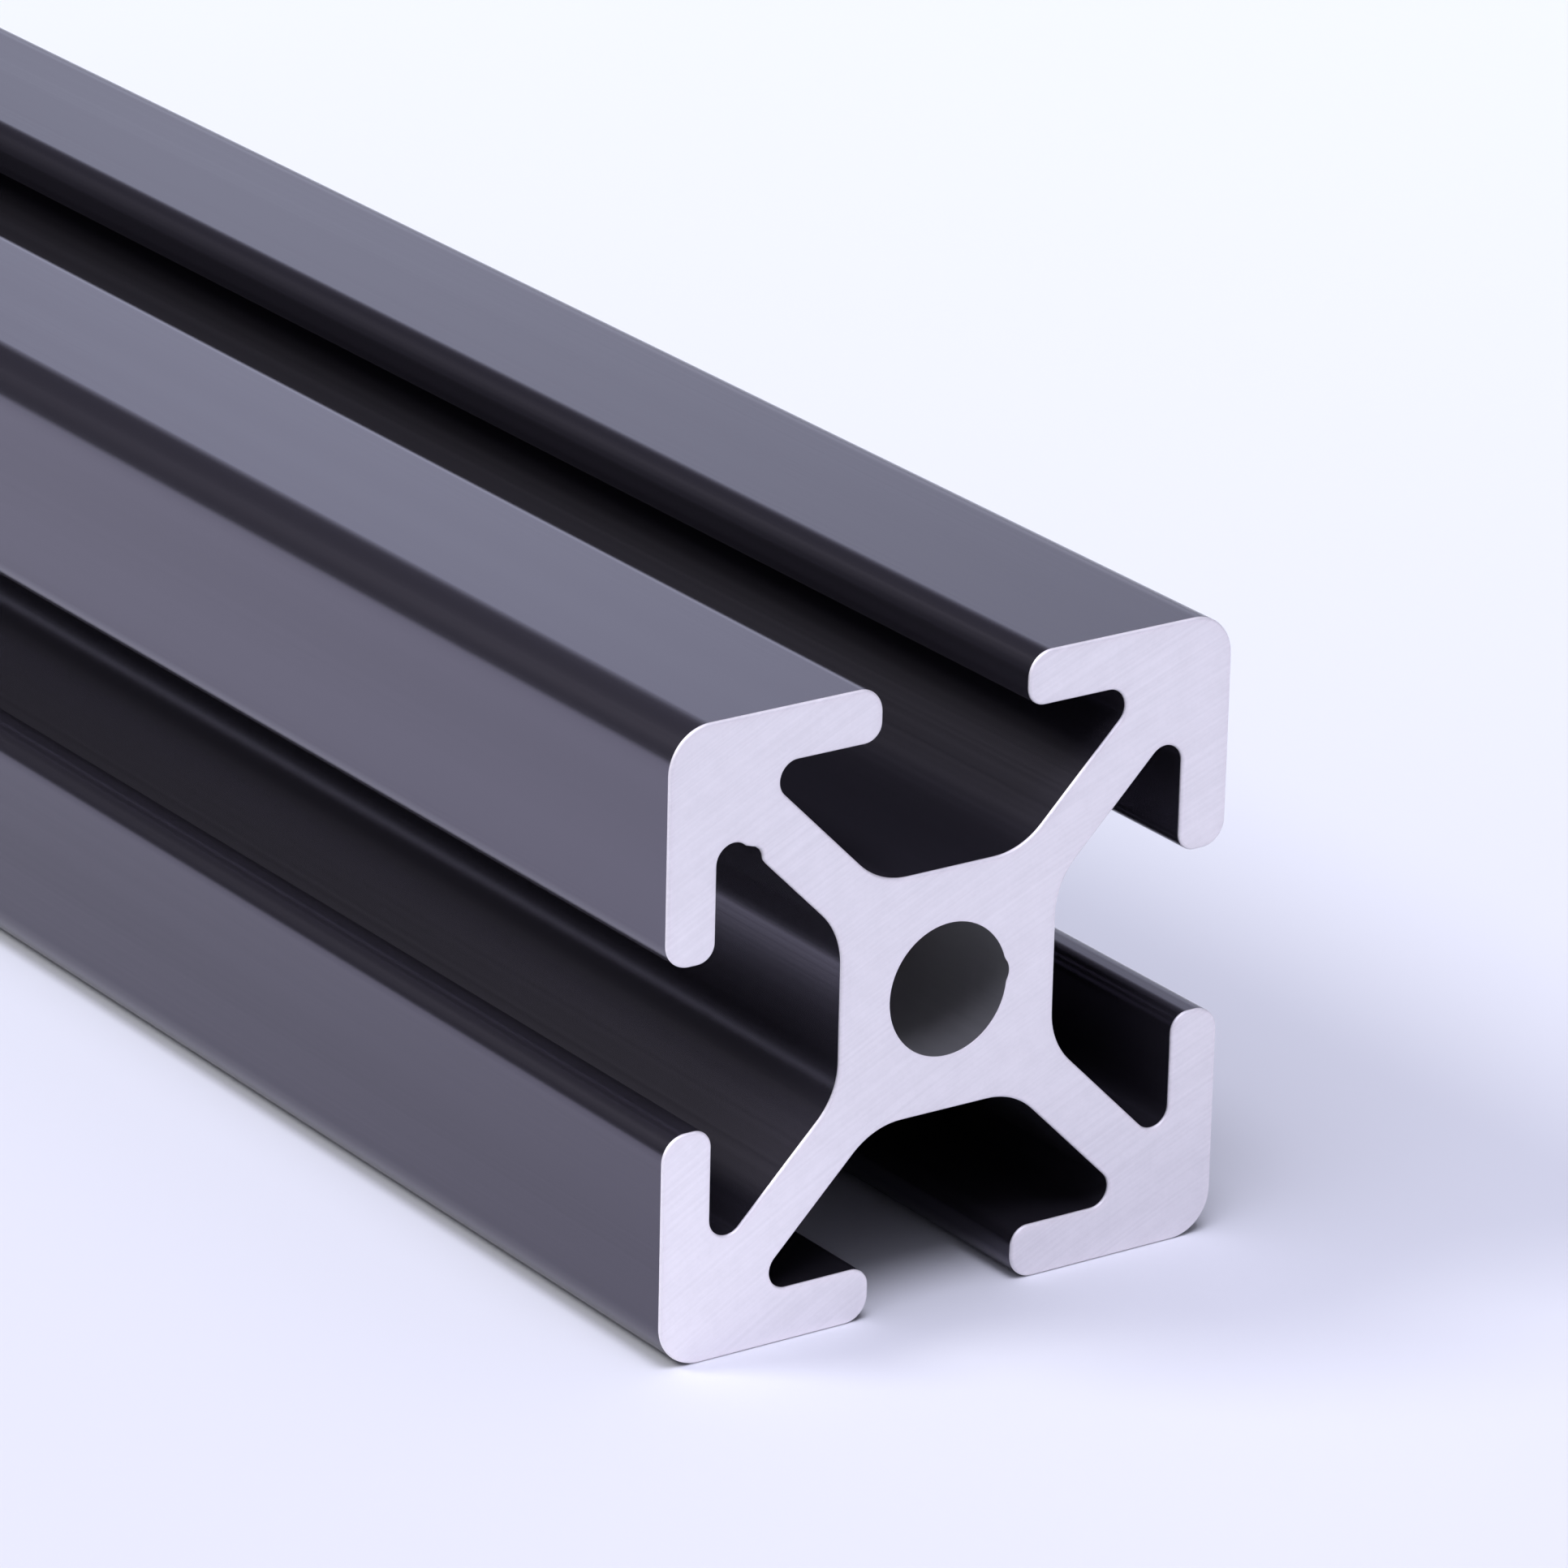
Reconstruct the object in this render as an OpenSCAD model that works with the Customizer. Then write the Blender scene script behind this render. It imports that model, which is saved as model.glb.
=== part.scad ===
// Slotted aluminium extrusion: a square bar with a lipped slot along each of its four sides,
// four diagonal webs, a square core and a plain bore through the middle of the core.
// The bar lies along Y on two of its lips. The origin is at mid length, on the floor.

/* [Bar] */
// Length that the bar is sawn to
bar_length = 200; // [50:10:1000]
// Width and height of the square section
section_width = 20; // [18:0.5:24]
// Radius of the four outer corners
corner_radius = 1.4; // [0.4:0.1:2.4]

/* [Slots] */
// Clear width between the two lips of a slot
mouth_width = 5.2; // [4:0.1:7]
// Thickness of the lips
lip_thickness = 1.7; // [1.5:0.1:2.2]
// Radius of the edge of a lip on the outside of the bar
lip_outer_radius = 0.8; // [0.2:0.05:0.85]
// Radius of the edge of a lip inside the slot
lip_inner_radius = 0.6; // [0.2:0.05:0.65]
// Radius of the pocket's tip, between a lip and a web
pocket_radius = 0.6; // [0.3:0.05:0.9]
// Radius between the floor of a slot and a web
floor_radius = 2.4; // [0.5:0.1:3]

/* [Core] */
// Width of the square core, from the floor of one slot to the floor of the opposite one
core_width = 7.7; // [7:0.1:8.6]
// Thickness of the four diagonal webs
web_thickness = 1.85; // [1.4:0.05:2.3]
// Diameter of the bore, which is the tapping size of an M5 screw
bore_diameter = 4.2; // [3:0.1:5.2]

/* [Hidden] */

// Every arc is this much larger than its fillet, so that it crosses the straight sides cleanly
arc_overlap = 0.0001;
// Least straight stretch left between the two round edges of a lip
lip_flat = 0.1;
$fn = 96;

half_section = section_width / 2;
half_mouth = mouth_width / 2;
half_core = core_width / 2;
lip_underside = half_section - lip_thickness;
// Height of a web's face above the diagonal that the web follows
web_rise = web_thickness / sqrt(2);
// The two round edges of a lip share the lip's thickness
lip_round = min(1, (lip_thickness - lip_flat) / (lip_outer_radius + lip_inner_radius));

function unit(v) = v / norm(v);
function cross_2d(a, b) = a[0] * b[1] - a[1] * b[0];
function quarter_turns(p, n) = n == 0 ? p : quarter_turns([-p[1], p[0]], n - 1);
function mirrored(corner) = [[-corner[0][0], corner[0][1]], corner[1]];

// Sharp corners of the top slot's right half, from its floor out to its lip, each with its radius
half_slot = [
    [[half_core - web_rise, half_core], floor_radius],
    [[lip_underside - web_rise, lip_underside], pocket_radius],
    [[half_mouth, lip_underside], lip_inner_radius * lip_round],
    [[half_mouth, half_section], lip_outer_radius * lip_round],
];
outer_corner = [[-half_section, half_section], corner_radius];

// One side of the bar, anticlockwise: the slot from its right lip to its left lip, then the corner
bar_side = concat(
    [for (i = [len(half_slot) - 1 : -1 : 0]) half_slot[i]],
    [for (corner = half_slot) mirrored(corner)],
    [outer_corner]
);
section_corners = [
    for (side = [0:3], corner = bar_side) [quarter_turns(corner[0], side), corner[1]]
];

// The arc of one corner: where it leaves the side before, where it meets the side after,
// its centre, its radius, and whether the outline turns left there
function corner_arc(before, corner, after) =
    let (
        at = corner[0],
        radius = corner[1],
        back = unit(before - at),
        ahead = unit(after - at),
        half_angle = acos(back * ahead) / 2,
        reach = radius / tan(half_angle),
        centre = at + unit(back + ahead) * radius / sin(half_angle)
    )
    [at + back * reach, at + ahead * reach, centre, radius, cross_2d(ahead, back) > 0];

// The part of a corner's circle that lies between its chord and the sharp corner
module arc_cap(arc) {
    centre = arc[2];
    radius = arc[3];
    outward = unit((arc[0] + arc[1]) / 2 - centre);
    along = [-outward[1], outward[0]] * 2 * radius;
    inner = centre + outward * norm((arc[0] + arc[1]) / 2 - centre) * 0.6;
    intersection() {
        translate(centre) circle(r = radius + arc_overlap);
        polygon([
            inner - along,
            inner + outward * 2 * radius - along,
            inner + outward * 2 * radius + along,
            inner + along
        ]);
    }
}

// A closed outline of sharp corners, each rounded to its own radius by a true arc
module rounded_outline(corners) {
    count = len(corners);
    arcs = [
        for (i = [0 : count - 1])
            corner_arc(corners[(i + count - 1) % count][0], corners[i], corners[(i + 1) % count][0])
    ];
    difference() {
        union() {
            polygon([for (arc = arcs) each [arc[0], arc[1]]]);
            for (arc = arcs) if (arc[4]) arc_cap(arc);
        }
        for (arc = arcs) if (!arc[4]) arc_cap(arc);
    }
}

module section() {
    difference() {
        rounded_outline(section_corners);
        circle(d = bore_diameter);
    }
}

module profile_bar() {
    color("#3c3b44")
        translate([0, bar_length / 2, half_section])
            rotate([90, 0, 0])
                linear_extrude(bar_length) section();
}

profile_bar();
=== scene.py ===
"""A sawn length of black-anodised slotted aluminium bar, lying on a pale floor in soft light."""

import math
from typing import NamedTuple

import bpy
import numpy as np
from mathutils import Matrix, Vector


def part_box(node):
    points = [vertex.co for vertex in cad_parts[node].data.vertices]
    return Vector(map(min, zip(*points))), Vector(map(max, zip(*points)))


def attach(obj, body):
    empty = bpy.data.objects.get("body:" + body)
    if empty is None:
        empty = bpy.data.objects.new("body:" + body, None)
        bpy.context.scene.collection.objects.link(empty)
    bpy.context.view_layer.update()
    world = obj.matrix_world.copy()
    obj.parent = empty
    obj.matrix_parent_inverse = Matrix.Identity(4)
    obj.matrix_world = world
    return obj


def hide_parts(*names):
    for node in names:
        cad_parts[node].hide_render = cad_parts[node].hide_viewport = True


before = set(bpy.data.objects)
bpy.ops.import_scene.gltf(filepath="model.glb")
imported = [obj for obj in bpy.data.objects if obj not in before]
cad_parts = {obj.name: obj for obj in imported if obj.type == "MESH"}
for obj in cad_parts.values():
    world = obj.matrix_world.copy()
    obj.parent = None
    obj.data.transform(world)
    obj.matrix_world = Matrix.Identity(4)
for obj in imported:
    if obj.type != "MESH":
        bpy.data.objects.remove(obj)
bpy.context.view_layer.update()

MM = 0.001

# The bar's section, as in the part's source. Its width, height and length come from the frame,
# to a hundredth of a millimetre.
bar_low, bar_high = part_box("profile_bar")
HALF_SECTION = round((bar_high.x - bar_low.x) / 2, 5)
HALF_LENGTH = round((bar_high.y - bar_low.y) / 2, 5)
AXIS_HEIGHT = round((bar_high.z + bar_low.z) / 2, 5)
MOUTH_WIDTH = 5.2 * MM
CORE_WIDTH = 7.7 * MM
LIP_THICKNESS = 1.7 * MM
WEB_THICKNESS = 1.85 * MM
BORE_DIAMETER = 4.2 * MM
CORNER_RADIUS = 1.4 * MM
LIP_OUTER_RADIUS = 0.8 * MM
LIP_INNER_RADIUS = 0.6 * MM
POCKET_RADIUS = 0.6 * MM
FLOOR_RADIUS = 2.4 * MM

HALF_MOUTH = MOUTH_WIDTH / 2
HALF_CORE = CORE_WIDTH / 2
LIP_UNDERSIDE = HALF_SECTION - LIP_THICKNESS
WEB_ANGLE = math.radians(45)
WEB_RISE = WEB_THICKNESS / math.sqrt(2)
BORE_RADIUS = BORE_DIAMETER / 2

# The saw's burr is rubbed off to this radius all round both ends, and less inside the bore.
EDGE_BREAK = 0.10 * MM
BORE_BREAK = 0.02 * MM
# The rubbed edge has a pale rim of about this width on the end faces, or this share where they are narrow:
# partly the rubbed metal, partly a painted highlight.
RIM_WIDTH = 0.22 * MM
RIM_SHARE = 0.3

# The saw tore two small nicks out of the near end, one beside the tip of the left slot's upper pocket and
# one at the bore's right. Each has its place in the section, its reach along the edge and its depth there.
NICKS = (
    (np.array([-6.95, 5.66]) * MM, 0.38 * MM, 0.22 * MM),
    (np.array([2.09, 0.20]) * MM, 0.36 * MM, 0.10 * MM),
)
# A nick runs out over this length of the bar.
NICK_LENGTH = 0.7 * MM

# Points on each stretch of half a slot, from the middle of its floor out to the corner
FLOOR_POINTS = 16
FILLET_POINTS = 10
WEB_POINTS = 24
TIP_POINTS = 8
BEND_POINTS = 9
LIP_POINTS = 5
INNER_EDGE_POINTS = 10
MOUTH_POINTS = 2
OUTER_EDGE_POINTS = 12
CORNER_POINTS = 8
# Where the pocket's tip passes from the web to the lip, in degrees round the tip's centre
TIP_TURN = 20
# The lip's middle line starts on the diagonal, this far outside the corner's centre in x and in z.
BRANCH_SHIFT = 0.1 * MM

# Points along the bar: on the quarter round of an edge, over a nick, and from end to end
ROUND_POINTS = 5
NICK_POINTS = 4
LENGTH_POINTS = 17
# Points that are the same to this step are merged.
MERGE_STEP = 1e-8

# The bar's material slots
ANODISED, SAWN, BORE = range(3)


# Shapes


class Patch(NamedTuple):
    """A grid of points with their normals, and its faces with their material slots.

    The rim is 1 at points on the rubbed edges and 0 at the others.
    """

    points: np.ndarray
    normals: np.ndarray
    faces: np.ndarray
    slots: np.ndarray
    rim: np.ndarray


def straight(start, end, normal, count):
    """Points evenly spaced from start towards end, which is left to the next stretch, and their normals."""
    share = np.linspace(0, 1, count, endpoint=False)[:, None]
    points = np.asarray(start) * (1 - share) + np.asarray(end) * share
    return points, np.broadcast_to(np.asarray(normal, float), points.shape)


def arc(centre, radius, first, last, outward, count):
    """Points of a circle from the first angle towards the last, in degrees, and their normals.

    A normal is the ray from the centre times outward, which is 1 or -1.
    """
    angle = np.radians(np.linspace(first, last, count, endpoint=False))
    ray = np.stack([np.cos(angle), np.sin(angle)], -1)
    return np.asarray(centre) + radius * ray, outward * ray


def diagonal(first, last, count):
    """Points on the section's diagonal, from one distance from the bore's axis towards another."""
    share = np.linspace(first, last, count, endpoint=False)[:, None]
    return share * np.array([1.0, 1.0]) / math.sqrt(2)


def along(start, end, count):
    """Points evenly spaced from start towards end, without normals."""
    return straight(start, end, (0, 0), count)[0]


def half_slot():
    """Right half of the top slot's outline, from the middle of its floor to the outer corner's diagonal.

    Each point comes with its normal and with a partner inside the metal: on the bore for the slot's floor,
    on the diagonal for the web, and on the lip's middle line for the lip. The end face is ruled between
    the two.
    """
    flat_end = HALF_CORE - WEB_RISE - FLOOR_RADIUS * math.tan(WEB_ANGLE / 2)
    floor_centre = np.array([flat_end, HALF_CORE + FLOOR_RADIUS])
    pocket_height = LIP_UNDERSIDE - POCKET_RADIUS
    pocket_centre = np.array([pocket_height - WEB_RISE - POCKET_RADIUS * math.sqrt(2), pocket_height])
    slope = np.array([1.0, -1.0]) / math.sqrt(2)
    web_start = floor_centre + FLOOR_RADIUS * slope
    web_end = pocket_centre + POCKET_RADIUS * slope
    under_start = (pocket_centre[0], LIP_UNDERSIDE)
    under_end = (HALF_MOUTH + LIP_INNER_RADIUS, LIP_UNDERSIDE)
    inner_centre = (HALF_MOUTH + LIP_INNER_RADIUS, LIP_UNDERSIDE + LIP_INNER_RADIUS)
    outer_centre = (HALF_MOUTH + LIP_OUTER_RADIUS, HALF_SECTION - LIP_OUTER_RADIUS)
    mouth_start = (HALF_MOUTH, inner_centre[1])
    mouth_end = (HALF_MOUTH, outer_centre[1])
    face_start = (outer_centre[0], HALF_SECTION)
    face_turn = (under_start[0], HALF_SECTION)
    corner_middle = HALF_SECTION - CORNER_RADIUS
    corner_centre = (corner_middle, corner_middle)
    face_end = (corner_middle, HALF_SECTION)

    outline = [
        straight((0, HALF_CORE), (flat_end, HALF_CORE), (0, 1), FLOOR_POINTS),
        arc(floor_centre, FLOOR_RADIUS, -90, -45, -1, FILLET_POINTS),
        straight(web_start, web_end, -slope, WEB_POINTS),
        arc(pocket_centre, POCKET_RADIUS, -45, TIP_TURN, -1, TIP_POINTS),
        arc(pocket_centre, POCKET_RADIUS, TIP_TURN, 90, -1, BEND_POINTS),
        straight(under_start, under_end, (0, -1), LIP_POINTS),
        arc(inner_centre, LIP_INNER_RADIUS, 270, 180, 1, INNER_EDGE_POINTS),
        straight(mouth_start, mouth_end, (-1, 0), MOUTH_POINTS),
        arc(outer_centre, LIP_OUTER_RADIUS, 180, 90, 1, OUTER_EDGE_POINTS),
        straight(face_start, face_turn, (0, 1), LIP_POINTS),
        straight(face_turn, face_end, (0, 1), BEND_POINTS),
        arc(corner_centre, CORNER_RADIUS, 90, 45, 1, CORNER_POINTS),
        arc(corner_centre, CORNER_RADIUS, 45, 0, 1, 1),
    ]

    lip_middle = (HALF_SECTION + LIP_UNDERSIDE) / 2
    lip_tip = np.array([outer_centre[0], lip_middle])
    lip_turn = np.array([under_start[0], lip_middle])
    branch = np.array([1.0, 1.0]) * (corner_middle + BRANCH_SHIFT)
    web_foot = web_start.sum() / math.sqrt(2)
    pocket_foot = web_end.sum() / math.sqrt(2)
    lip_edge_points = INNER_EDGE_POINTS + MOUTH_POINTS + OUTER_EDGE_POINTS
    partner = [
        arc((0, 0), BORE_RADIUS, 90, 45, -1, FLOOR_POINTS)[0],
        diagonal(BORE_RADIUS, web_foot, FILLET_POINTS),
        diagonal(web_foot, pocket_foot, WEB_POINTS),
        diagonal(pocket_foot, branch[0] * math.sqrt(2), TIP_POINTS),
        along(branch, lip_turn, BEND_POINTS),
        along(lip_turn, lip_tip, LIP_POINTS),
        np.tile(lip_tip, (lip_edge_points, 1)),
        along(lip_tip, lip_turn, LIP_POINTS),
        along(lip_turn, branch, BEND_POINTS),
        np.tile(branch, (CORNER_POINTS + 1, 1)),
    ]
    points, normals = (np.concatenate(part) for part in zip(*outline))
    return points, normals, np.concatenate(partner)


def whole_section():
    """The half slot, mirrored and turned to all four sides: one closed ring that runs anticlockwise."""
    flip = np.array([-1.0, 1.0])
    quarter = np.array([[0.0, 1.0], [-1.0, 0.0]])
    rings = []
    for part in half_slot():
        side = np.concatenate([part[:0:-1], part[:-1] * flip])
        turned = [side @ np.linalg.matrix_power(quarter, turn) for turn in range(4)]
        rings.append(np.concatenate(turned))
    return rings


def grid_faces(rows, columns):
    """Four-cornered faces of a grid of points in rows, whose columns close on themselves."""
    row, column = np.meshgrid(np.arange(rows - 1), np.arange(columns), indexing="ij")
    right = (column + 1) % columns
    here = row * columns
    ahead = (row + 1) * columns
    corners = [here + column, here + right, ahead + right, ahead + column]
    return np.stack([corner.ravel() for corner in corners], -1)


def stood_up(across, along_bar):
    """The section's two coordinates and a place along the bar, as x, y and z."""
    place = np.broadcast_to(along_bar, across.shape[:-1])
    return np.stack([across[..., 0], place, across[..., 1]], -1)


def nick_depth(ring):
    """Depth of the nicks at each point of a ring: a nick's depth times 1 - (distance / reach) squared."""
    depth = np.zeros(len(ring))
    for place, reach, deepest in NICKS:
        distance = np.linalg.norm(ring - place, axis=1)
        depth = depth + deepest * np.clip(1 - (distance / reach) ** 2, 0, 1)
    return depth


def wall(ring, ring_normals, edge_break, skin):
    """A ring carried along the bar, with a quarter round of radius edge_break at both ends.

    On the quarter round an angle runs from 0 on the end face to 90 degrees on the wall. A point there is
    moved back along the ring's normal by the radius times (1 - sine), and lies short of the end by the
    radius times (1 - cosine). A nick moves it back further, by its depth times a share that falls to
    nothing over NICK_LENGTH from the near end. The rounds are bare metal, and the skin is the material
    slot of the rest.
    """
    angle = np.radians(np.linspace(0, 90, ROUND_POINTS))
    inset = edge_break * (1 - np.sin(angle))
    lean = np.sin(angle)
    facing = np.cos(angle)
    near = -HALF_LENGTH + edge_break * (1 - np.cos(angle))
    over_nick = np.linspace(near[-1], NICK_LENGTH - HALF_LENGTH, NICK_POINTS)[1:]
    over_bar = np.linspace(near[-1], -near[-1], LENGTH_POINTS)[1:-1]
    level = np.zeros(len(over_nick) + len(over_bar))
    place = np.concatenate([near, over_nick, over_bar, -near[::-1]])
    inset = np.concatenate([inset, level, inset[::-1]])
    lean = np.concatenate([lean, level + 1, lean[::-1]])
    facing = np.concatenate([-facing, level, facing[::-1]])

    nicked = np.clip(1 - (place + HALF_LENGTH) / NICK_LENGTH, 0, 1)
    moved_back = inset[:, None] + np.outer(nicked, nick_depth(ring))
    points = stood_up(ring - moved_back[..., None] * ring_normals, place[:, None])
    points[..., 2] += AXIS_HEIGHT
    normals = stood_up(lean[:, None, None] * ring_normals, facing[:, None])
    slots = np.full(len(place) - 1, SAWN)
    slots[ROUND_POINTS - 1:len(place) - ROUND_POINTS] = skin
    rim = np.broadcast_to((inset > 0)[:, None], points.shape[:2])
    return Patch(points, normals, grid_faces(len(place), len(ring)), np.repeat(slots, len(ring)), rim)


def turned_round(patch):
    """The same patch with its faces pointing the other way."""
    return patch._replace(faces=patch.faces[:, ::-1])


def end_face(edge, partner, place):
    """The flat between the section's edge and the partners inside it, ruled at one place along the bar.

    A ruled line has points at its two ends, at its middle, and at the rim's width from each end. The rim is
    1 on the section's edge and on the bore's, and 0 on the next points.
    """
    length = np.linalg.norm(partner - edge, axis=1)
    step = np.minimum(RIM_WIDTH / length, RIM_SHARE)
    share = np.stack([0 * step, step, 0 * step + 0.5, 1 - step, 0 * step + 1])
    points = stood_up(edge + share[..., None] * (partner - edge), place)
    points[..., 2] += AXIS_HEIGHT
    normals = np.broadcast_to(np.array([0.0, math.copysign(1, place), 0.0]), points.shape)
    faces = grid_faces(len(share), len(edge))
    rim = np.zeros(share.shape)
    rim[0] = 1
    rim[-1] = np.linalg.norm(partner, axis=1) < BORE_RADIUS + RIM_WIDTH
    return Patch(points, normals, faces, np.full(len(faces), SAWN), rim)


def make_piece(name, patches):
    """One object of several patches.

    Equal points are merged, and each face is cut into two triangles, without those that have no area.
    """
    points = np.concatenate([patch.points.reshape(-1, 3) for patch in patches])
    normals = np.concatenate([patch.normals.reshape(-1, 3) for patch in patches])
    rim = np.concatenate([patch.rim.ravel() for patch in patches])
    starts = np.cumsum([0] + [patch.rim.size for patch in patches[:-1]])
    faces = np.concatenate([patch.faces + start for patch, start in zip(patches, starts)])
    slots = np.concatenate([patch.slots for patch in patches])

    steps = np.round(points / MERGE_STEP).astype(np.int64)
    _, first, merged = np.unique(steps, axis=0, return_index=True, return_inverse=True)
    faces = merged.ravel()[faces]
    triangles = np.concatenate([faces[:, [0, 1, 2]], faces[:, [0, 2, 3]]])
    slots = np.concatenate([slots, slots])
    whole = (triangles != np.roll(triangles, 1, 1)).all(1)

    mesh = bpy.data.meshes.new(name)
    mesh.from_pydata(points[first], [], triangles[whole])
    mesh.polygons.foreach_set("material_index", slots[whole].astype(np.int32))
    mesh.polygons.foreach_set("use_smooth", np.ones(int(whole.sum()), bool))
    on_rim = mesh.attributes.new("rim", "FLOAT", "POINT")
    on_rim.data.foreach_set("value", rim[first].astype(np.float32))
    mesh.update()
    lengths = np.linalg.norm(normals[first], axis=1, keepdims=True)
    mesh.normals_split_custom_set_from_vertices((normals[first] / lengths).tolist())
    piece = bpy.data.objects.new(name, mesh)
    bpy.context.scene.collection.objects.link(piece)
    return piece


def make_bar():
    """The section's ring and the bore's circle as walls, closed by an end face at either end."""
    ring, normals, partner = whole_section()
    on_bore = np.isclose(np.linalg.norm(partner, axis=1), BORE_RADIUS, atol=10 * MERGE_STEP)
    bore = partner[on_bore]
    bore_normals = -bore / BORE_RADIUS
    edge = ring - EDGE_BREAK * normals
    inner = partner.copy()
    inner[on_bore] -= BORE_BREAK * bore_normals
    nicked_edge = edge - nick_depth(ring)[:, None] * normals
    nicked_inner = inner.copy()
    nicked_inner[on_bore] -= nick_depth(bore)[:, None] * bore_normals
    return make_piece("profile_bar_dressed", [
        turned_round(wall(ring, normals, EDGE_BREAK, ANODISED)),
        wall(bore, bore_normals, BORE_BREAK, BORE),
        end_face(nicked_edge, nicked_inner, -HALF_LENGTH),
        turned_round(end_face(edge, inner, HALF_LENGTH)),
    ])


# Finishes


class Value:
    """A number that changes over a surface. Arithmetic on it adds Math nodes to its finish."""

    def __init__(self, finish, socket):
        self.finish = finish
        self.socket = socket

    def math(self, operation, *terms):
        """The result of a Math node on these terms."""
        made = self.finish.node("ShaderNodeMath", {"operation": operation}, dict(enumerate(terms)))
        return Value(self.finish, made.outputs[0])

    def __add__(self, other):
        return self.math("ADD", self, other)

    def __radd__(self, other):
        return self.math("ADD", other, self)

    def __sub__(self, other):
        return self.math("SUBTRACT", self, other)

    def __rsub__(self, other):
        return self.math("SUBTRACT", other, self)

    def __mul__(self, other):
        return self.math("MULTIPLY", self, other)

    def __rmul__(self, other):
        return self.math("MULTIPLY", other, self)

    def between(self, low, high):
        """0 below low and 1 above high, with a smooth rise between them."""
        settings = {"interpolation_type": "SMOOTHSTEP"}
        sockets = {"Value": self, "From Min": low, "From Max": high}
        made = self.finish.node("ShaderNodeMapRange", settings, sockets)
        return Value(self.finish, made.outputs["Result"])


class Finish:
    """The nodes of one material or of the world."""

    def __init__(self, owner):
        owner.use_nodes = True
        self.tree = owner.node_tree
        self.tree.nodes.clear()

    def node(self, kind, settings=None, sockets=None):
        """Adds a node: its settings are set first, then the values or links of its sockets."""
        made = self.tree.nodes.new(kind)
        for name, value in (settings or {}).items():
            setattr(made, name, value)
        for name, value in (sockets or {}).items():
            self.feed(made.inputs[name], value)
        return made

    def feed(self, socket, value):
        """Links a value or an output to a socket, or sets the socket to a plain number, vector or colour."""
        source = value.socket if isinstance(value, Value) else value
        if isinstance(source, bpy.types.NodeSocket):
            self.tree.links.new(source, socket)
        else:
            socket.default_value = source

    def place(self, output="Object"):
        """The place on the surface, in metres, or another of the coordinates."""
        return self.node("ShaderNodeTexCoord").outputs[output]

    def stretched(self, vector, scale):
        """A vector with each of its coordinates times its own scale."""
        return self.node("ShaderNodeMapping", {}, {"Vector": vector, "Scale": scale}).outputs["Vector"]

    def noise(self, vector, scale=1.0, detail=2.0):
        """Smooth noise from 0 to 1, about 0.5 on average."""
        sockets = {"Vector": vector, "Scale": scale, "Detail": detail}
        return Value(self, self.node("ShaderNodeTexNoise", {}, sockets).outputs[0])

    def mixed(self, share, first, second):
        """A colour between two: the first where the share is 0, the second where it is 1."""
        sockets = {0: share, 6: (*first, 1), 7: (*second, 1)}
        return self.node("ShaderNodeMix", {"data_type": "RGBA"}, sockets).outputs[2]

    def dot(self, vector, axis):
        """The dot product of a vector with an axis of length 1."""
        sockets = {0: vector, 1: tuple(Vector(axis).normalized())}
        made = self.node("ShaderNodeVectorMath", {"operation": "DOT_PRODUCT"}, sockets)
        return Value(self, made.outputs["Value"])

    def bump(self, height, strength, distance):
        """A normal tilted by a height: the bump's full depth is distance."""
        sockets = {"Height": height, "Strength": strength, "Distance": distance}
        return self.node("ShaderNodeBump", {}, sockets).outputs[0]

    def surface(self, sockets):
        """Ends a material with a Principled shader."""
        shader = self.node("ShaderNodeBsdfPrincipled", {}, sockets)
        self.node("ShaderNodeOutputMaterial", {}, {"Surface": shader.outputs[0]})


def new_finish(name):
    """A new material and its empty tree of nodes."""
    material = bpy.data.materials.new(name)
    return material, Finish(material)


X_AXIS = (1, 0, 0)
Y_AXIS = (0, 1, 0)
Z_AXIS = (0, 0, 1)

# The skin's patterns, in cycles per metre across, along and up the bar
DIE_LINES = (7000, 9, 7000)
DIE_BANDS = (500, 5, 500)
ETCH_GRAIN = 9000
DIE_DEPTH = 0.02 * MM
# The skin's darkest and palest colours. Painted light makes it paler from the floor up to this height on the
# left, so the lower faces keep a painted shade.
DARK_DYE_AND_SHADE = (0.080, 0.0735, 0.092)
PALE_DYE_AND_LIGHT = (0.143, 0.132, 0.164)
PAINTED_LIGHT_HEIGHT = 16.5 * MM
# To the right the painted light is weaker, by this share, over this distance either side of the bar's axis.
PAINTED_LIGHT_RIGHT_LOSS = 0.75
PAINTED_LIGHT_BORDER = 3 * MM
# How far the patterns and the painted light each go from the one colour to the other
PATTERN_SHARE = 0.41
PAINTED_LIGHT_SHARE = 0.59

# The bore's lines, in cycles per metre, and the length from either end over which its wall turns paler
BORE_LINES = (6000, 30, 6000)
BORE_PALE = 5 * MM
DYED_BORE = (0.14, 0.14, 0.14)
BARE_BORE = (0.50, 0.49, 0.49)

# The saw's hub, the way that its teeth swept, and their marks in cycles per metre across and along them
SAW_HUB = (0.055, 0.0, -0.11)
SAW_SWEEP = (0.9, 0, -0.43)
MARKS_ACROSS = 9000
MARKS_ALONG = 120
MARK_DEPTH = 0.03 * MM
MOTTLE = 1400
FINE_MOTTLE = 8000
DULL_METAL = (0.80, 0.77, 0.78)
BRIGHT_METAL = (1.0, 0.965, 0.975)
# Painted light: the cut is painted brighter towards its lower left, between these distances from the origin.
PAINTED_LIGHT_CORNER = (-0.8, 0, -0.6)
PAINTED_LIGHT_FROM, PAINTED_LIGHT_TO = -4 * MM, 5 * MM

# Painted light: the floor is painted brighter towards the back right and darker towards the front left,
# between these distances from the origin.
FLOOR_LIGHT_SIDE = (0.57, 0.82, 0)
FLOOR_LIGHT_FROM, FLOOR_LIGHT_TO = -0.13, 0.10
FLOOR_CLOUD = 9
NEAR_FLOOR = (0.76, 0.765, 0.79)
FAR_FLOOR = (0.88, 0.91, 0.90)


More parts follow.
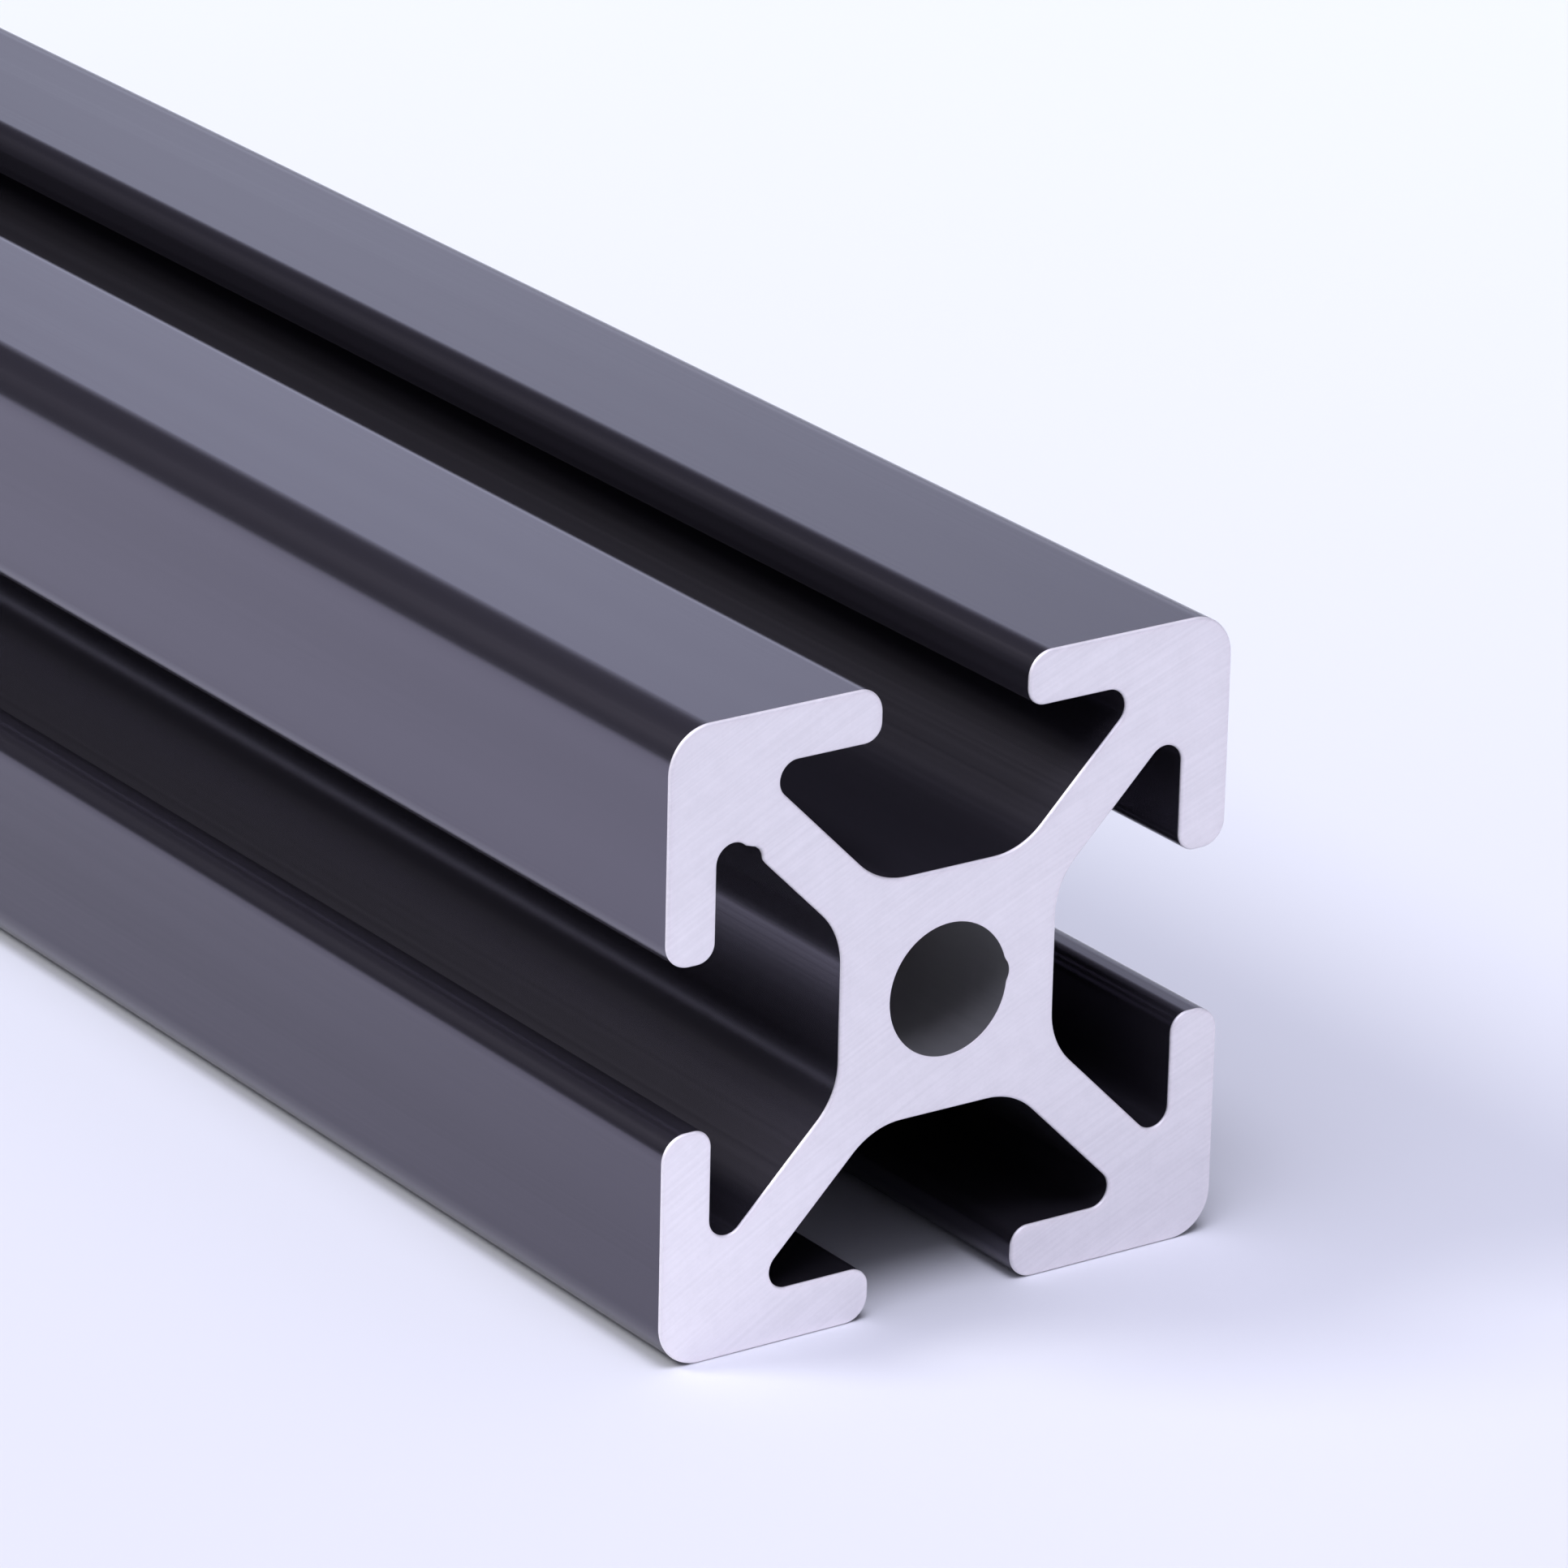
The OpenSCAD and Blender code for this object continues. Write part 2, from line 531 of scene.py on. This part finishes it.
def black_anodise():
    """Satin black skin: faint lines that the die drew along the bar, broader bands, and the etch's grain.

    Its colour is painted a little paler on the upper left and darker low down and on the right: painted light
    and painted shade.
    """
    material, finish = new_finish("black_anodise")
    place = finish.place()
    lines = finish.noise(finish.stretched(place, DIE_LINES), detail=3)
    bands = finish.noise(finish.stretched(place, DIE_BANDS), detail=1)
    grain = finish.noise(place, scale=ETCH_GRAIN)
    # The three patterns together are about 0.5 on average.
    tone = lines + 0.7 * bands + 0.2 * grain - 0.45
    # Painted light and shade: paler up to a height on the left, less so on the right, darker near the floor.
    upper = finish.dot(place, Z_AXIS).between(0, PAINTED_LIGHT_HEIGHT)
    right = finish.dot(place, X_AXIS).between(-PAINTED_LIGHT_BORDER, PAINTED_LIGHT_BORDER)
    painted_light = upper * (1 - PAINTED_LIGHT_RIGHT_LOSS * right)
    paler = PATTERN_SHARE * tone + PAINTED_LIGHT_SHARE * painted_light
    finish.surface({
        "Base Color": finish.mixed(paler, DARK_DYE_AND_SHADE, PALE_DYE_AND_LIGHT),
        "Metallic": 0.86,
        "Roughness": 0.18 + 0.06 * lines + 0.07 * bands,
        "IOR": 1.6,
        "Normal": finish.bump(0.85 * lines + 0.15 * grain, 0.10, DIE_DEPTH),
    })
    return material


def bore_skin():
    """Dull grey: the dye hardly reaches into the narrow bore, so its wall is paler further from the ends."""
    material, finish = new_finish("bore_skin")
    place = finish.place()
    lines = finish.noise(finish.stretched(place, BORE_LINES))
    along_bar = finish.dot(place, Y_AXIS)
    mouth = (along_bar * along_bar).between((HALF_LENGTH - BORE_PALE) ** 2, HALF_LENGTH ** 2)
    finish.surface({
        "Base Color": finish.mixed(mouth - 0.1 * lines, BARE_BORE, DYED_BORE),
        "Metallic": 0.3,
        "Roughness": 0.45 + 0.1 * lines,
    })
    return material


def sawn_aluminium():
    """Bare metal: marks of a round saw blade, whose hub is below the bar, over a faint mottle.

    The marks are noise over the distance from the hub, drawn out along the blade's sweep. The rim is rougher
    than the rest and paler, partly as rubbed metal and partly as a painted highlight along the edges.
    """
    material, finish = new_finish("sawn_aluminium")
    place = finish.place()
    on_cut = finish.stretched(place, (1, 0, 1))
    reach = finish.node("ShaderNodeVectorMath", {"operation": "DISTANCE"}, {0: on_cut, 1: SAW_HUB})
    radius = Value(finish, reach.outputs["Value"])
    sweep = finish.dot(place, SAW_SWEEP)
    polar = finish.node("ShaderNodeCombineXYZ", {}, {"X": radius * MARKS_ACROSS, "Y": sweep * MARKS_ALONG})
    marks = finish.noise(polar.outputs[0], detail=3)
    mottle = finish.noise(place, scale=MOTTLE, detail=3)
    fine = finish.noise(place, scale=FINE_MOTTLE)
    tone = (0.45 * marks + 0.35 * mottle + 0.2 * fine).between(0.25, 0.75)
    # Painted light: the cut brightens towards its lower left.
    corner = finish.dot(place, PAINTED_LIGHT_CORNER).between(PAINTED_LIGHT_FROM, PAINTED_LIGHT_TO)
    rim = Value(finish, finish.node("ShaderNodeAttribute", {"attribute_name": "rim"}).outputs["Fac"])
    # The rim's paleness is partly the rubbed metal and partly a painted highlight.
    bright = 0.5 * tone + 0.075 + 0.5 * corner + 0.2 * rim
    finish.surface({
        "Base Color": finish.mixed(bright, DULL_METAL, BRIGHT_METAL),
        "Metallic": 0.85,
        "Roughness": 0.42 + 0.12 * mottle + 0.2 * rim,
        "Normal": finish.bump(marks * 0.7 + fine * 0.3, 0.12, MARK_DEPTH),
    })
    return material


def pale_floor():
    """Matt white with a faint cloud, and painted light: a little brighter towards the back right, darker
    towards the front left.
    """
    material, finish = new_finish("pale_floor")
    place = finish.place()
    cloud = finish.noise(place, scale=FLOOR_CLOUD)
    # Painted light: the floor's colour rises towards the back right.
    rise = finish.dot(place, FLOOR_LIGHT_SIDE).between(FLOOR_LIGHT_FROM, FLOOR_LIGHT_TO)
    finish.surface({
        "Base Color": finish.mixed(0.2 * cloud + 0.8 * rise, NEAR_FLOOR, FAR_FLOOR),
        "Roughness": 0.75,
        "Specular IOR Level": 0.2,
    })
    return material


# Floor and light

# The radius of the floor and of the fan in its middle, in metres, and the floor's rings and sides
FLOOR_REACH = 6.0
FLOOR_MIDDLE = 0.05
FLOOR_RINGS = 9
FLOOR_SIDES = 96

# A light's direction from the bar, and the dot products with it between which the light rises from 0 to 1
GLOW_ABOVE = (Z_AXIS, 0.72, 0.98)
BROAD_LEFT = ((-0.55, -0.15, 0.82), 0.75, 0.97)
FRONT_RIGHT = ((0.66, -0.75, 0), 0.5, 0.95)
FRONT_TOP = (Z_AXIS, 0.12, 0.4)
PANEL_LEFT_EDGE = ((0.914, -0.407, 0), -0.1, 0.13)
PANEL_BACK = ((0.34, 0.94, 0), 0.75, 0.97)
PANEL_FOOT = (Z_AXIS, 0.02, 0.18)
PANEL_TOP = (Z_AXIS, 0.38, 0.56)
DARK_BACK = ((-0.35, 0.94, 0), 0.45, 0.75)
# How bright the room is, how much the dark back takes from that, and what each light adds
ROOM_LEVEL = 0.18
DARK_BACK_LOSS = 0.14
GLOW_LEVEL = 0.6
LEFT_LEVEL = 1.1
FRONT_LEVEL = 1.2
PANEL_LEVEL = 1.17
ROOM_COLOUR = (0.80, 0.80, 1.0)
PANEL_COLOUR = (0.79, 0.83, 1.04)


def make_floor():
    """A flat round floor just under the bar: rings whose radius grows by equal shares, and a middle fan."""
    angle = np.linspace(0, 2 * math.pi, FLOOR_SIDES, endpoint=False)
    radius = np.geomspace(FLOOR_MIDDLE, FLOOR_REACH, FLOOR_RINGS)
    level = np.zeros((FLOOR_RINGS, FLOOR_SIDES))
    rings = np.stack([np.outer(radius, np.cos(angle)), np.outer(radius, np.sin(angle)), level], -1)
    points = np.concatenate([rings.reshape(-1, 3), np.zeros((1, 3))])
    side = np.arange(FLOOR_SIDES)
    fan = np.stack([np.full(FLOOR_SIDES, len(points) - 1), side, (side + 1) % FLOOR_SIDES], -1)
    around = grid_faces(FLOOR_RINGS, FLOOR_SIDES)[:, ::-1]
    mesh = bpy.data.meshes.new("floor")
    mesh.from_pydata(points, [], [*around.tolist(), *fan.tolist()])
    mesh.materials.append(pale_floor())
    floor = bpy.data.objects.new("floor", mesh)
    bpy.context.scene.collection.objects.link(floor)
    return floor


def room_light():
    """A soft room: a glow above, a broad light high on the left, and low lights at the front and back right.

    The low light at the back is a panel with an upright left edge, so that only the upward faces show it.
    It is dark behind on the left and dim elsewhere. Each light is the dot product of a direction with the
    light's own, which rises smoothly from 0 to 1 between two values.
    """
    world = bpy.data.worlds.new("room")
    bpy.context.scene.world = world
    finish = Finish(world)
    way = finish.place("Generated")

    def light(toward, low, high):
        return finish.dot(way, toward).between(low, high)

    front = light(*FRONT_RIGHT) * (1 - light(*FRONT_TOP))
    upright = light(*PANEL_LEFT_EDGE) * light(*PANEL_BACK)
    panel = upright * light(*PANEL_FOOT) * (1 - light(*PANEL_TOP))
    level = ROOM_LEVEL - DARK_BACK_LOSS * light(*DARK_BACK)
    level = level + GLOW_LEVEL * light(*GLOW_ABOVE) + LEFT_LEVEL * light(*BROAD_LEFT)
    level = level + FRONT_LEVEL * front + PANEL_LEVEL * panel
    colour = finish.mixed(panel, ROOM_COLOUR, PANEL_COLOUR)
    sky = finish.node("ShaderNodeBackground", {}, {"Color": colour, "Strength": level})
    finish.node("ShaderNodeOutputWorld", {}, {"Surface": sky.outputs[0]})


def add_sun(name, toward, strength, spread, colour):
    """A distant soft lamp in a direction from the bar; spread is its width in the sky in degrees."""
    lamp = bpy.data.lights.new(name, "SUN")
    lamp.color = colour
    lamp.energy = strength
    lamp.angle = math.radians(spread)
    holder = bpy.data.objects.new(name, lamp)
    holder.rotation_mode = "QUATERNION"
    holder.rotation_quaternion = Vector(toward).to_track_quat("Z", "Y")
    bpy.context.scene.collection.objects.link(holder)


# Camera, measured from the middle of the near end face

CAMERA_FROM_END = Vector((-145.10, -200.82, 100.79)) * MM
YAW, PITCH, ROLL = (math.radians(degrees) for degrees in (34.699, -20.873, 1.315))
# Focal length and sensor width in millimetres, and the depths that the camera sees in metres
LENS = 208.83
SENSOR = 36
NEAREST, FURTHEST = 0.01, 50


def add_camera():
    """Looks along +Y turned by YAW towards +X, tipped by PITCH and rolled by ROLL about its line of sight."""
    flat = math.cos(PITCH)
    ahead = Vector((math.sin(YAW) * flat, math.cos(YAW) * flat, math.sin(PITCH)))
    level = Vector((math.cos(YAW), -math.sin(YAW), 0))
    over = level.cross(ahead)
    right = math.cos(ROLL) * level + math.sin(ROLL) * over
    up = math.cos(ROLL) * over - math.sin(ROLL) * level
    data = bpy.data.cameras.new("camera")
    data.lens = LENS
    data.sensor_width = SENSOR
    data.clip_start = NEAREST
    data.clip_end = FURTHEST
    camera = bpy.data.objects.new("camera", data)
    turn = Matrix((right, up, -ahead)).transposed().to_4x4()
    near_end = Vector((0, -HALF_LENGTH, AXIS_HEIGHT))
    camera.matrix_world = Matrix.Translation(near_end + CAMERA_FROM_END) @ turn
    bpy.context.scene.collection.objects.link(camera)
    bpy.context.scene.camera = camera


# The bar

bar = make_bar()
for finish_of_slot in (black_anodise(), sawn_aluminium(), bore_skin()):
    bar.data.materials.append(finish_of_slot)
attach(bar, "root")
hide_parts("profile_bar")

# The studio

make_floor()
room_light()
add_sun("left_lamp", toward=(-0.63, 0.36, 0.69), strength=1.22, spread=20, colour=(1, 1, 1))
add_sun("high_lamp", toward=(-0.13, -0.27, 0.95), strength=1.52, spread=28, colour=(0.81, 0.81, 1.0))
add_camera()
bpy.context.scene.view_settings.view_transform = "Standard"
